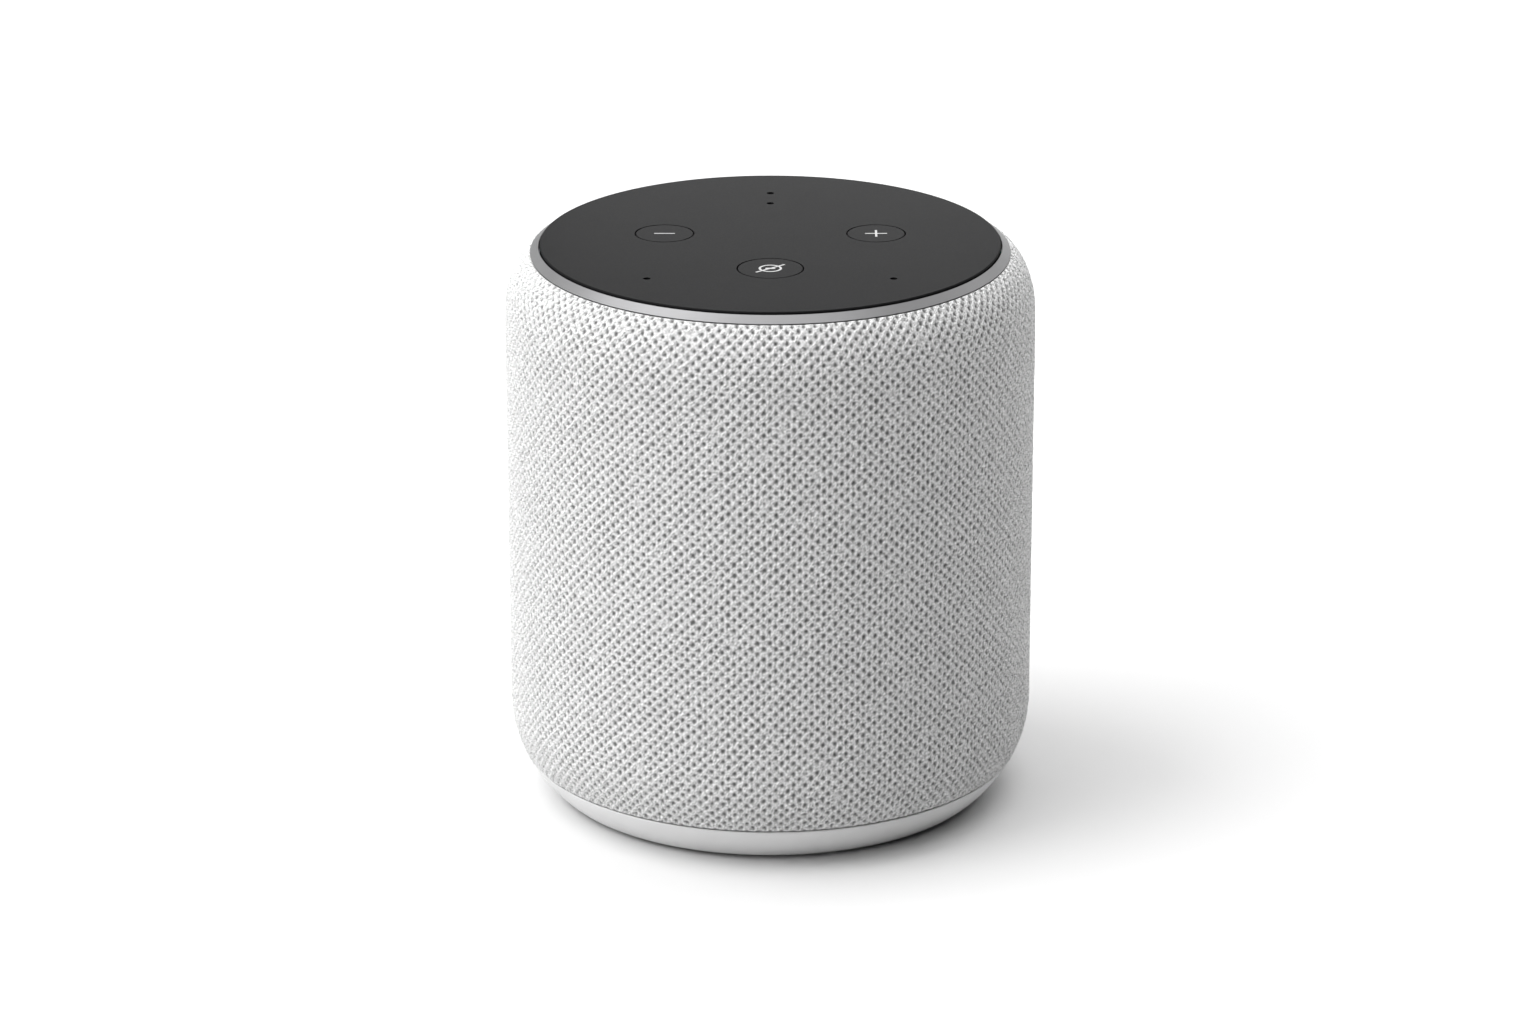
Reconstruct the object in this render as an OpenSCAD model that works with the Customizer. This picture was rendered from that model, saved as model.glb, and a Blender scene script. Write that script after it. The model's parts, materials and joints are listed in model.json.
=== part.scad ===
// Smart speaker: a round fabric-covered body with a dark top panel, three push buttons and a trim ring.
// Z is up and the origin is the centre of the underside. The front faces -Y, the sockets face +Y.

/* [Body] */
// Diameter of the fabric-covered body
body_d = 120; // [110:1:150]
// Height from the table to the top panel
body_h = 130; // [108:1:170]
// Width of the rounded shoulder, seen from above
shoulder_w = 8.9; // [7.5:0.1:11]
// Height of the rounded shoulder
shoulder_h = 14.84; // [12:0.01:18]
// Radius of the rounded lower edge
hem_r = 27; // [25:0.5:30]
// Height of that radius' centre above the table
hem_z = 21.6; // [20:0.1:23]
// Thickness of the fabric sleeve
fabric_t = 1.2; // [0.8:0.1:1.5]
// Thickness of the grille shell under the fabric
grille_t = 1.8; // [1.4:0.1:2.2]

/* [Top] */
// Thickness of the top panel
panel_t = 2; // [1.5:0.1:3]
// Gap between the top panel and the trim ring
panel_gap = 0.25; // [0.15:0.05:0.5]
// Height of the panel above the trim ring's inner edge
panel_proud = 0.47; // [0.2:0.01:1]
// Distance from the body's side to the trim ring's outer edge
ring_inset = 5.7; // [5:0.1:7]
// Width of the trim ring's slope, seen from above
ring_w = 1.95; // [1.5:0.05:2.5]
// Height of the trim ring's slope
ring_drop = 1.52; // [1:0.02:2]
// Width of the microphone ports
mic_hole_d = 1.7; // [1:0.1:2]

/* [Buttons] */
// Diameter of the two volume buttons
volume_button_d = 13; // [10:0.5:16]
// Diameter of the mute button
mute_button_d = 14.5; // [11:0.5:18]
// Distance of each volume button from the middle line
volume_button_x = 24; // [20:0.5:26]
// Distance of the volume buttons behind the centre
volume_button_y = 5.9; // [3:0.1:8]
// Distance of the mute button in front of the centre
mute_button_y = 20.4; // [18:0.1:23]
// Gap round each button
button_gap = 0.3; // [0.15:0.05:0.4]
// How far a button travels
button_travel = 0.5; // [0.3:0.05:0.6]

/* [Base] */
// Height of the seam between the base ring and the fabric
seam_z = 9.2; // [8.2:0.1:10.5]
// Height of the base ring's lower edge above the table
base_lift = 1; // [0.5:0.1:1.5]
// Outside radius of the rubber foot
foot_r = 42; // [36:0.5:43]
// Width of the rubber foot
foot_w = 8; // [5:0.5:12]
// Thickness of the rubber foot
foot_t = 2; // [1.8:0.1:3]

/* [Drivers] */
// Diameter of the woofer's flange
woofer_d = 72; // [60:1:87]
// Diameter of the woofer's voice coil
coil_d = 20; // [18:1:24]
// Diameter of the woofer's magnet
magnet_d = 44; // [40:1:50]
// Height of the woofer's front above the table
woofer_z = 32; // [31:0.5:36]
// Stroke of the woofer's cone, each way
woofer_stroke = 3.5; // [2:0.1:3.5]
// Diameter of the tweeter's flange
tweeter_d = 30; // [26:0.5:32]

/* [Sockets] */
// Width of the socket bay at the rear
bay_w = 32; // [30:0.5:38.5]
// Height of the socket bay
bay_h = 13; // [11:0.5:15]
// Distance of the power socket from the middle line
power_x = 7; // [7:0.1:8]
// Distance of the audio socket from the middle line
audio_x = 7.5; // [7:0.1:8]
// Bore of the audio socket, which takes a 3.5 mm plug
audio_bore_d = 3.6; // [3.55:0.01:3.7]
// Bore of the power socket, which takes a 5.5 mm barrel
power_bore_d = 5.7; // [5.6:0.05:6]
// Diameter of the power socket's centre pin
power_pin_d = 2; // [1.65:0.05:2.5]

/* [Hidden] */
$fn = 96;
cut = 1; // how far a cutting shape runs past the face it cuts
tiny = 0.001;
root = 0.5; // how deep a boss or rib starts inside the wall it grows from
fit = 0.1; // clearance between pieces that seat in each other
slip = 0.2; // clearance between pieces that drop into each other
screw_slip = 0.05; // clearance round a screw's shank
body_r = body_d / 2;

// Outer skin, given at a depth below the fabric's surface
hem_x = body_r - hem_r;
shoulder_x = body_r - shoulder_w;
ring_edge_r = body_r - ring_inset;
ring_edge_z = body_h - panel_proud - ring_drop;
ring_edge_a = acos((ring_edge_r - shoulder_x) / shoulder_w);
shoulder_z = ring_edge_z - shoulder_h * sin(ring_edge_a);
skin_end_a = ring_edge_a - 0.4;
skin_steps = 14;
skin_gap = 0.15; // seam between the base ring and what stands on it
grille_depth = fabric_t + fit;
inner_depth = grille_depth + grille_t;
inner_r = body_r - inner_depth;

// Top: panel, ring and light guide
panel_r = ring_edge_r - ring_w - panel_gap;
panel_z = body_h - panel_t;
panel_bevel = 0.22;
ring_in_r = panel_r + panel_gap;
ring_skirt_t = 0.75;
ring_skirt_z = panel_z - 3.4;
guide_wall = 1.6;
guide_flange = 3.4;
guide_h = 2.8;
guide_flange_t = 1.2;
guide_z = panel_z - fit - guide_h;
panel_skirt_r = 46;
panel_skirt_t = 1.4;
panel_skirt_h = 3.8;

// Button board and what stands on it
board_t = 1.2;
board_top = panel_z - 5.4;
board_z = board_top - board_t;
frame_r = ring_in_r - 0.15;
frame_wall = 1.6;
frame_in_r = frame_r - frame_wall;
button_board_r = frame_in_r - 3 * slip;
panel_boss_r = 2.6;
panel_boss_at = 38;
panel_boss_angles = [30, 150, 270];
small_screw_r = 0.95;
small_head_r = 2;
small_head_h = 1.2;
led_at = frame_in_r - 2.2;
led_size = [1.6, 1.6, 1.4];
led_count = 12;
mic_size = [3.8, 3, 1.1];
mic_at = [[0, 37.5], [0, 29.4], [-27.3, -27.9], [27.3, -27.9]];
mic_gasket_r = 2.2;
switch_w = 6;
switch_h = 2.5;
plunger_r = 1.7;
plunger_h = 1.4;
plunger_slip = 0.08;
plunger_z = board_top + switch_h - 0.9;

// Buttons
flange_lip = 1;
flange_t = 1;
flange_gap = 0.12;
flange_z = panel_z - flange_gap - flange_t;
button_guide_t = 1.2;
button_guide_h = 2.5;
stem_r = 2.2;
legend_t = 0.3;
legend_line = 0.5;
minus_len = 4.7;
plus_len = 5;
mute_ring_r = 2.35;
mute_pill = [2.3, 0.8];
mute_slash_len = 8.6;
mute_slash_a = 42;
cap_bevel = 0.1;

// Base
plate_z = 1.2;
plate_t = 2.4;
ledge_z = plate_z + plate_t;
ledge_t = 2;
deck_z = ledge_z + ledge_t;
base_edge_r = skin_r(0, base_lift);
plate_r = base_edge_r - 0.85;
leg_r = 2.8;
leg_at = plate_r - leg_r;
leg_angles = [45, 135, 225, 315];
ledge_r = leg_at - leg_r - 0.6;
tongue_z = seam_z + 3.3;
tongue_t = 1.5;
tongue_r = skin_r(inner_depth, seam_z + skin_gap) - 2 * slip;
large_screw_r = 1.4;
large_head_r = 2.4;
large_head_h = 1.3;
leg_screw_l = 11;
deflector_screw_at = 20;
deflector_screw_l = 6;
deflector_cone_r = 27;
deflector_tip_r = 4;
deflector_tip_z = deck_z + 13;

// Woofer, fires down; heights are above its front
woofer_r = woofer_d / 2;
basket_flange_t = 3;
basket_rim_w = 6.5;
basket_wall = 1.5;
basket_top = 18;
basket_neck_r = magnet_d / 2 - 1;
basket_shoulder_r = woofer_r - 4;
coil_r = coil_d / 2;
coil_t = 0.6;
coil_gap = 0.5;
pole_r = coil_r - coil_gap - coil_t;
surround_w = 5;
surround_t = 0.6;
cone_edge_r = woofer_r - basket_rim_w - surround_w;
cone_edge_z = 1.4;
cone_neck_z = 11;
cone_t = 0.5;
spider_z = 14.6;
spider_t = 0.5;
spider_wave = 0.45;
steel_t = 3;
magnet_t = 7;
top_plate_z = basket_top + basket_wall;
magnet_z = top_plate_z + steel_t;
yoke_z = magnet_z + magnet_t;
coil_end_gap = 2.5; // between the coil at full stroke and the yoke
coil_top = yoke_z - woofer_stroke - coil_end_gap;
gasket_t = 1;
woofer_screw_at = woofer_r - 1.9;
woofer_screw_r = 1;
woofer_screw_l = 9;
woofer_angles = [45, 135, 225, 315];
terminal_size = [7, 8, 3];
terminal_z = 9;
terminal_out = 1.4; // how far the terminal block's middle is outside the cone wall
terminal_x = basket_r(terminal_z) + terminal_out;

// Outer radius of the basket's cone wall at a height above the woofer's front
function basket_r(z) =
    basket_shoulder_r
    - (basket_shoulder_r - basket_neck_r) * (z - basket_flange_t) / (basket_top - basket_flange_t);

// Enclosure
enclosure_gap = 2.4;
enclosure_r = inner_r - enclosure_gap;
enclosure_wall = 2.5;
enclosure_in_r = enclosure_r - enclosure_wall;
floor_z = woofer_z + basket_flange_t + gasket_t;
floor_t = 3;
lid_z = panel_z - 24;
lid_t = 3;
lid_top = lid_z + lid_t;
lid_gasket_t = 0.6;
lid_boss_r = 3;
lid_boss_h = 12;
lid_screw_at = frame_in_r - large_head_r - slip;
lid_screw_l = 13;
lid_angles = [0, 60, 120, 180, 240, 300];
frame_foot_t = 2;
frame_foot_w = 7.5;
frame_ledge_w = 3;

// Tweeter, fires to the front; depths are in front of its seat
tweeter_r = tweeter_d / 2;
tweeter_z = lid_z - 22;
tweeter_seat = enclosure_r - 4;
tweeter_tub_wall = 2;
tweeter_seat_t = 2;
tweeter_cup_r = tweeter_r - 3.7;
tweeter_cup_wall = 1.7;
tweeter_cup_h = 4;
tweeter_flange_t = 2;
tweeter_magnet_t = 6;
dome_r = tweeter_cup_r - tweeter_cup_wall - 1.1;
dome_t = 0.4;
dome_z = 1;
dome_h = 2.6;
tweeter_screw_at = tweeter_r - 1.9;
tweeter_screw_angles = [60, 180, 300];
tweeter_screw_l = 4;
tweeter_head_r = 1.7;

// Main board, on the enclosure's lid
standoff_h = 5;
standoff_r = 3;
standoff_at = 30;
standoff_angles = [45, 135, 225, 315];
main_board_r = 44;
main_board_t = 1.6;
main_board_z = lid_top + standoff_h;
main_top = main_board_z + main_board_t;
shield_size = [26, 22, 2.5];
shield_wall = 0.4;
pad_size = [22, 18, 1];
spreader_z = main_top + shield_size[2] + pad_size[2];
spreader_r = 36;
spreader_t = 1.5;
spreader_screw_l = spreader_z + spreader_t - lid_top - 1;
capacitor_r = 2.5;
capacitor_h = 6;
capacitor_at = 40.5;
capacitor_angles = [20, 32, 44, 136, 148, 160];
plug_h = 2.5; // height of a wire connector
ribbon_w = 8;
ribbon_t = 0.3;
ribbon_y = 41;
ribbon_plug = [10, 4, 1.6];

// Socket board at the rear
socket_board_z = deck_z + 13;
socket_board_t = 1.6;
socket_board_top = socket_board_z + socket_board_t;
socket_board_w = 32;
socket_board_y = body_r - 26;
socket_board_l = 16;
socket_post_x = 13.6;
socket_post_y = body_r - 23.5;
socket_post_r = 2.5;
socket_screw_l = 5;
socket_h = 10;
socket_z = socket_board_top + socket_h / 2;
socket_front = body_r - 7.6;
socket_l = 14;
power_socket_w = 9;
audio_socket_w = 7;
power_depth = 11;
audio_depth = 14;
bay_wall = 1.2;
bay_floor_t = 2;
bay_face_r = body_r - 0.1;
bay_power_hole_r = 3.6;
audio_neck_r = 2.9;
bay_audio_hole_r = audio_neck_r + fit;

// Wires
wire_r = 0.7;
wire_half = 1.2; // half the distance between the two wires of a pair
grommet_r = 4;
grommet_lip = 1;
woofer_lead_x = 38;
woofer_lead_slope = 4 / 3; // rise over run of the woofer leads' slanted part
tweeter_lead_y = 36;
power_lead_x = 0.75;
power_lead_y = body_r - 12.5;
power_lead_out = enclosure_r + wire_r + 0.5;
power_lead_low = floor_z - wire_r - 1.1;
power_lead_top = main_board_z - 1.3;
power_plug_y = 43;

// Grille openings
slot_count = 24;
slot_w = 9;
slot_low = 14;
slot_high = floor_z - 2;
port_hole_r = 1.5;
port_pitch = 4.5;
port_rings = 3;

// ---- Shared shapes ----

// Radius of the body at a height below the shoulder, at a depth under the fabric's surface
function skin_r(depth, z) =
    z >= hem_z ? body_r - depth : hem_x + sqrt(pow(hem_r - depth, 2) - pow(hem_z - z, 2));

function arc(cx, cz, rx, rz, from, to, steps) =
    [for (i = [0:steps]) let (a = from + (to - from) * i / steps) [cx + rx * cos(a), cz + rz * sin(a)]];

// The skin's outline from a height near the base up to the trim ring
function skin_curve(depth, low) = concat(
    arc(hem_x, hem_z, hem_r - depth, hem_r - depth, -asin((hem_z - low) / (hem_r - depth)), 0, skin_steps),
    arc(shoulder_x, shoulder_z, shoulder_w - depth, shoulder_h - depth, 0, skin_end_a, skin_steps)
);

function reversed(list) = [for (i = [len(list) - 1:-1:0]) list[i]];

// A shell of revolution between two depths under the fabric's surface
module skin_shell(outer, inner, low) {
    rotate_extrude() polygon(concat(skin_curve(outer, low), reversed(skin_curve(inner, low))));
}

module tube(outer, inner, z, h) {
    translate([0, 0, z])
        difference() {
            cylinder(r = outer, h = h);
            hole(inner, 0, h);
        }
}

// A cutting cylinder that runs past both ends of the wall from z to z + h
module hole(r, z, h) {
    translate([0, 0, z - cut]) cylinder(r = r, h = h + 2 * cut);
}

// A flat-sided block with its base at z, centred on x and y
module block(size, x, y, z) {
    translate([x - size[0] / 2, y - size[1] / 2, z]) cube(size);
}

module at_polar(radius, angles) {
    for (a = angles) rotate(a) translate([radius, 0, 0]) children();
}

module at_points(points) {
    for (p = points) translate([p[0], p[1], 0]) children();
}

// A pan-head screw along Z: the head's seat is at z, the shank runs up (dir 1) or down (dir -1)
module screw(shank_r, head_r, head_h, length, z, dir) {
    translate([0, 0, z])
        mirror([0, 0, dir < 0 ? 1 : 0]) {
            difference() {
                rotate_extrude()
                    polygon([
                        [0, 0], [head_r, 0], [head_r, -head_h * 0.6],
                        [head_r - head_h * 0.4, -head_h], [0, -head_h]
                    ]);
                translate([0, 0, -head_h - cut])
                    cylinder(r = head_r * 0.42, h = cut + head_h * 0.55, $fn = 6);
            }
            cylinder(r = shank_r, h = length);
        }
}

// A round wire through points, with square ends
module wire(points) {
    for (i = [0:len(points) - 2]) {
        step = points[i + 1] - points[i];
        translate(points[i])
            rotate([0, acos(step[2] / norm(step)), atan2(step[1], step[0])])
                cylinder(r = wire_r, h = norm(step));
        if (i > 0) translate(points[i]) sphere(r = wire_r);
    }
}

// A slab with round ends that stands in the XZ plane, from y0 to y1
module stadium_y(w, h, x, z, y0, y1) {
    translate([x, y1, z])
        rotate([90, 0, 0]) {
            for (side = [-1, 1]) translate([side * (w - h) / 2, 0, 0]) cylinder(r = h / 2, h = y1 - y0);
            translate([-(w - h) / 2, -h / 2, 0]) cube([w - h, h, y1 - y0]);
        }
}

module hole_y(r, x, z, y0, y1) {
    translate([x, y1, z]) rotate([90, 0, 0]) cylinder(r = r, h = y1 - y0);
}

module at_volume_down() {
    translate([-volume_button_x, volume_button_y, 0]) children();
}

module at_volume_up() {
    translate([volume_button_x, volume_button_y, 0]) children();
}

module at_mute() {
    translate([0, -mute_button_y, 0]) children();
}

// The woofer's own frame: z is above its front face
module at_woofer() {
    translate([0, 0, woofer_z]) children();
}

// The tweeter's own frame: z is in front of its seat
module at_tweeter() {
    translate([0, -tweeter_seat, tweeter_z]) rotate([90, 0, 0]) children();
}

// ---- Top ----

module button_guide(r) {
    inner = r + flange_lip + 3 * fit;
    difference() {
        translate([0, 0, panel_z - button_guide_h])
            cylinder(r = inner + button_guide_t, h = button_guide_h + root);
        translate([0, 0, panel_z - button_guide_h - cut]) cylinder(r = inner, h = button_guide_h + cut);
    }
}

module button_hole(r) {
    hole(r + button_gap, panel_z, panel_t);
}

module top_cover() {
    color("#44464a")
        difference() {
            union() {
                rotate_extrude()
                    polygon([
                        [0, panel_z], [panel_r - panel_bevel, panel_z], [panel_r, panel_z + panel_bevel],
                        [panel_r, body_h - panel_bevel], [panel_r - panel_bevel, body_h], [0, body_h]
                    ]);
                tube(panel_skirt_r, panel_skirt_r - panel_skirt_t, panel_z - panel_skirt_h,
                    panel_skirt_h + root);
                at_volume_down() button_guide(volume_button_d / 2);
                at_volume_up() button_guide(volume_button_d / 2);
                at_mute() button_guide(mute_button_d / 2);
                at_polar(panel_boss_at, panel_boss_angles)
                    translate([0, 0, board_top]) cylinder(r = panel_boss_r, h = panel_z - board_top + root);
            }
            at_volume_down() button_hole(volume_button_d / 2);
            at_volume_up() button_hole(volume_button_d / 2);
            at_mute() button_hole(mute_button_d / 2);
            at_points(mic_at) hole(mic_hole_d / 2, panel_z, panel_t);
            at_polar(panel_boss_at, panel_boss_angles)
                translate([0, 0, board_top - cut])
                    cylinder(r = small_screw_r + screw_slip, h = cut + panel_z - board_top - 0.8);
        }
}

module trim_ring() {
    bevel = 0.12;
    color("#b9bcc0")
        rotate_extrude()
            polygon([
                [ring_edge_r, ring_edge_z],
                [ring_in_r + bevel, ring_edge_z + ring_drop - bevel * 0.4],
                [ring_in_r, ring_edge_z + ring_drop - bevel],
                [ring_in_r, ring_skirt_z],
                [ring_in_r + ring_skirt_t, ring_skirt_z],
                [ring_in_r + ring_skirt_t, ring_edge_z - 1.05],
                [ring_edge_r - 0.2, ring_edge_z - 0.3]
            ]);
}

module light_guide() {
    outer = ring_in_r - fit;
    color("#e8edf0")
        rotate_extrude()
            polygon([
                [outer - guide_wall - guide_flange, guide_z], [outer, guide_z], [outer, guide_z + guide_h],
                [outer - guide_wall, guide_z + guide_h], [outer - guide_wall, guide_z + guide_flange_t],
                [outer - guide_wall - guide_flange, guide_z + guide_flange_t]
            ]);
}

module light_leds() {
    color("#f4f2e6")
        at_polar(led_at, [for (i = [0:led_count - 1]) 15 + i * 360 / led_count])
            block(led_size, 0, 0, board_top);
}

module top_frame() {
    foot_r_in = frame_r - frame_foot_w;
    color("#2e3033")
        difference() {
            rotate_extrude()
                polygon([
                    [foot_r_in, lid_top], [frame_r, lid_top], [frame_r, guide_z], [frame_in_r, guide_z],
                    [frame_in_r, board_z], [frame_in_r - frame_ledge_w, board_z],
                    [frame_in_r - frame_ledge_w, board_z - 1.2], [frame_in_r, board_z - 1.2 - frame_ledge_w],
                    [frame_in_r, lid_top + frame_foot_t], [foot_r_in, lid_top + frame_foot_t]
                ]);
            at_polar(lid_screw_at, lid_angles)
                hole(large_screw_r + screw_slip, lid_top, frame_foot_t);
            translate([power_lead_x - 2.5, frame_in_r - 2, power_lead_top - 1.2]) cube([5, 6, 2.4]);
        }
}

module button_board() {
    color("#1f5a3c")
        difference() {
            translate([0, 0, board_z]) cylinder(r = button_board_r, h = board_t);
            at_polar(panel_boss_at, panel_boss_angles)
                hole(small_screw_r + 3 * screw_slip, board_z, board_t);
        }
}

module mic_capsules() {
    color("#c9b26a")
        at_points(mic_at)
            difference() {
                block(mic_size, 0, 0, board_top);
                translate([0, 0, board_top + mic_size[2] - 0.4]) cylinder(r = 0.4, h = cut);
            }
}

module mic_gaskets() {
    bottom = board_top + mic_size[2];
    color("#26282a")
        at_points(mic_at) tube(mic_gasket_r, mic_hole_d / 2, bottom, panel_z - bottom);
}

module switch_body() {
    difference() {
        block([switch_w, switch_w, switch_h], 0, 0, board_top);
        translate([0, 0, plunger_z - button_travel - slip])
            cylinder(r = plunger_r + plunger_slip, h = switch_h + cut);
    }
}

module switch_bodies() {
    color("#1b1b1d") {
        at_volume_down() switch_body();
        at_volume_up() switch_body();
        at_mute() switch_body();
    }
}

// ---- Buttons ----

module cap(r) {
    color("#45474b")
        union() {
            rotate_extrude()
                polygon([
                    [0, flange_z], [r + flange_lip, flange_z], [r + flange_lip, flange_z + flange_t],
                    [r, flange_z + flange_t], [r, body_h - cap_bevel], [r - cap_bevel, body_h], [0, body_h]
                ]);
            translate([0, 0, plunger_z + plunger_h])
                cylinder(r = stem_r, h = flange_z - plunger_z - plunger_h + root);
        }
}

module plunger() {
    color("#d8d8d4") translate([0, 0, plunger_z]) cylinder(r = plunger_r, h = plunger_h);
}

module bar(length, angle) {
    rotate(angle) block([length, legend_line, legend_t], 0, 0, body_h - legend_t);
}

module minus_shape() {
    at_volume_down() bar(minus_len, 0);
}

module plus_shape() {
    at_volume_up() {
        bar(plus_len, 0);
        bar(plus_len, 90);
    }
}

module mute_shape() {
    pill_r = mute_pill[1] / 2;
    pill_half = mute_pill[0] / 2 - pill_r;
    at_mute() {
        tube(mute_ring_r + legend_line / 2, mute_ring_r - legend_line / 2, body_h - legend_t, legend_t);
        for (side = [-1, 1])
            translate([side * pill_half, 0, body_h - legend_t]) cylinder(r = pill_r, h = legend_t);
        block([2 * pill_half, mute_pill[1], legend_t], 0, 0, body_h - legend_t);
        bar(mute_slash_len, mute_slash_a);
    }
}

module volume_down_cap() {
    color("#45474b")
        difference() {
            at_volume_down() cap(volume_button_d / 2);
            minus_shape();
        }
}

module volume_up_cap() {
    color("#45474b")
        difference() {
            at_volume_up() cap(volume_button_d / 2);
            plus_shape();
        }
}

module mute_cap() {
    color("#45474b")
        difference() {
            at_mute() cap(mute_button_d / 2);
            mute_shape();
        }
}

module minus_legend() {
    color("#c8cacc") minus_shape();
}

module plus_legend() {
    color("#e6e8ea") plus_shape();
}

module mute_legend() {
    color("#e6e8ea") mute_shape();
}

module volume_down_plunger() {
    at_volume_down() plunger();
}

module volume_up_plunger() {
    at_volume_up() plunger();
}

module mute_plunger() {
    at_mute() plunger();
}

// ---- Main board ----

module main_board() {
    color("#1d4f36")
        difference() {
            translate([0, 0, main_board_z]) cylinder(r = main_board_r, h = main_board_t);
            at_polar(standoff_at, standoff_angles)
                hole(small_screw_r + 3 * screw_slip, main_board_z, main_board_t);
        }
}

module shield_can() {
    color("#c4c6c8")
        difference() {
            block(shield_size, 0, 0, main_top);
            block(shield_size - 2 * [shield_wall, shield_wall, shield_wall / 2], 0, 0, main_top - tiny);
        }
}

module thermal_pad() {
    color("#8fa7b8") block(pad_size, 0, 0, main_top + shield_size[2]);
}

module heat_spreader() {
    color("#a9adb1")
        difference() {
            union() {
                translate([0, 0, spreader_z]) cylinder(r = spreader_r, h = spreader_t);
                at_polar(standoff_at, standoff_angles)
                    translate([0, 0, main_top]) cylinder(r = standoff_r, h = spreader_z - main_top + root);
            }
            at_polar(standoff_at, standoff_angles)
                hole(small_screw_r + 3 * screw_slip, main_top, spreader_z + spreader_t - main_top);
        }
}

module board_connectors() {
    pair_plug = [6, 6, plug_h];
    color("#e9e5d8") {
        block(ribbon_plug, 0, ribbon_y, main_top);
        block(ribbon_plug, 0, ribbon_y, board_z - ribbon_plug[2]);
        block(pair_plug, -woofer_lead_x, 0, main_board_z - plug_h);
        block(pair_plug, 0, -tweeter_lead_y, main_board_z - plug_h);
        block([6, 4, plug_h], power_lead_x, power_plug_y - 2, main_board_z - plug_h);
        block([5, 4, plug_h], power_lead_x, power_lead_y, socket_board_top);
    }
}

module board_capacitors() {
    color("#2b3a66")
        at_polar(capacitor_at, capacitor_angles)
            translate([0, 0, main_top]) cylinder(r = capacitor_r, h = capacitor_h);
}

module ribbon_cable() {
    low = main_top + ribbon_plug[2];
    high = board_z - ribbon_plug[2];
    color("#c98a3a") block([ribbon_w, ribbon_t, high - low], 0, ribbon_y, low);
}

module board_screws() {
    color("#a7a9ac") {
        at_polar(panel_boss_at, panel_boss_angles)
            screw(small_screw_r, small_head_r, small_head_h, panel_z - board_z - 1, board_z, 1);
        at_polar(standoff_at, standoff_angles)
            screw(small_screw_r, small_head_r, small_head_h, spreader_screw_l, spreader_z + spreader_t, -1);
        for (side = [-1, 1])
            translate([side * socket_post_x, socket_post_y, 0])
                screw(small_screw_r, small_head_r, small_head_h, socket_screw_l, socket_board_top, -1);
    }
}

// ---- Enclosure ----

module tweeter_tub() {
    intersection() {
        at_tweeter()
            translate([0, 0, -tweeter_seat_t])
                cylinder(r = tweeter_r + tweeter_tub_wall + slip, h = enclosure_r);
        translate([0, 0, floor_z]) cylinder(r = enclosure_r, h = lid_z - floor_z);
    }
}

// A screw boss with a rib that ties it to the enclosure's wall
module lid_boss(rim_z) {
    translate([0, 0, rim_z - lid_boss_h]) {
        cylinder(r = lid_boss_r, h = lid_boss_h);
        translate([0, -lid_boss_r, 0])
            cube([enclosure_in_r + root - lid_screw_at, 2 * lid_boss_r, lid_boss_h]);
    }
}

module enclosure() {
    rim_z = lid_z - lid_gasket_t;
    color("#303235")
        difference() {
            union() {
                difference() {
                    translate([0, 0, floor_z]) cylinder(r = enclosure_r, h = rim_z - floor_z);
                    translate([0, 0, floor_z + floor_t]) cylinder(r = enclosure_in_r, h = rim_z);
                }
                at_polar(lid_screw_at, lid_angles)
                    lid_boss(rim_z);
                at_polar(woofer_screw_at, woofer_angles)
                    translate([0, 0, floor_z]) cylinder(r = lid_boss_r, h = woofer_screw_l);
                at_polar(leg_at, leg_angles)
                    translate([0, 0, deck_z]) cylinder(r = leg_r, h = floor_z - deck_z + root);
                tweeter_tub();
            }
            hole(basket_shoulder_r + slip, floor_z, floor_t);
            at_tweeter() cylinder(r = tweeter_r + slip, h = enclosure_r);
            at_tweeter()
                hole(tweeter_cup_r + slip, -tweeter_seat_t, tweeter_seat_t);
            at_tweeter()
                at_polar(tweeter_screw_at, tweeter_screw_angles)
                    hole(small_screw_r + screw_slip, -tweeter_seat_t, tweeter_seat_t);
            at_polar(lid_screw_at, lid_angles)
                translate([0, 0, rim_z - lid_boss_h + cut])
                    cylinder(r = large_screw_r + screw_slip, h = lid_boss_h);
            at_polar(woofer_screw_at, woofer_angles)
                translate([0, 0, floor_z - cut])
                    cylinder(r = woofer_screw_r + screw_slip, h = woofer_screw_l);
            at_polar(leg_at, leg_angles)
                translate([0, 0, deck_z - cut])
                    cylinder(r = large_screw_r + screw_slip, h = leg_screw_l);
        }
}

module grommet_hole() {
    hole(grommet_r - grommet_lip, lid_z, lid_t);
}

module enclosure_lid() {
    color("#2c2e31")
        difference() {
            union() {
                translate([0, 0, lid_z]) cylinder(r = enclosure_r, h = lid_t);
                at_polar(standoff_at, standoff_angles)
                    translate([0, 0, lid_top - root]) cylinder(r = standoff_r, h = standoff_h + root);
            }
            at_polar(standoff_at, standoff_angles)
                translate([0, 0, lid_top + 0.5]) cylinder(r = small_screw_r + screw_slip, h = standoff_h);
            at_polar(lid_screw_at, lid_angles)
                hole(large_screw_r + screw_slip, lid_z, lid_t);
            translate([-woofer_lead_x, 0, 0]) grommet_hole();
            translate([0, -tweeter_lead_y, 0]) grommet_hole();
        }
}

module lid_gasket() {
    color("#17181a")
        difference() {
            tube(enclosure_r - slip, lid_screw_at - lid_boss_r, lid_z - lid_gasket_t, lid_gasket_t);
            at_polar(lid_screw_at, lid_angles)
                hole(large_screw_r + screw_slip, lid_z - lid_gasket_t, lid_gasket_t);
        }
}

module lid_screws() {
    color("#a7a9ac")
        at_polar(lid_screw_at, lid_angles)
            screw(large_screw_r, large_head_r, large_head_h, lid_screw_l, lid_top + frame_foot_t, -1);
}

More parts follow.
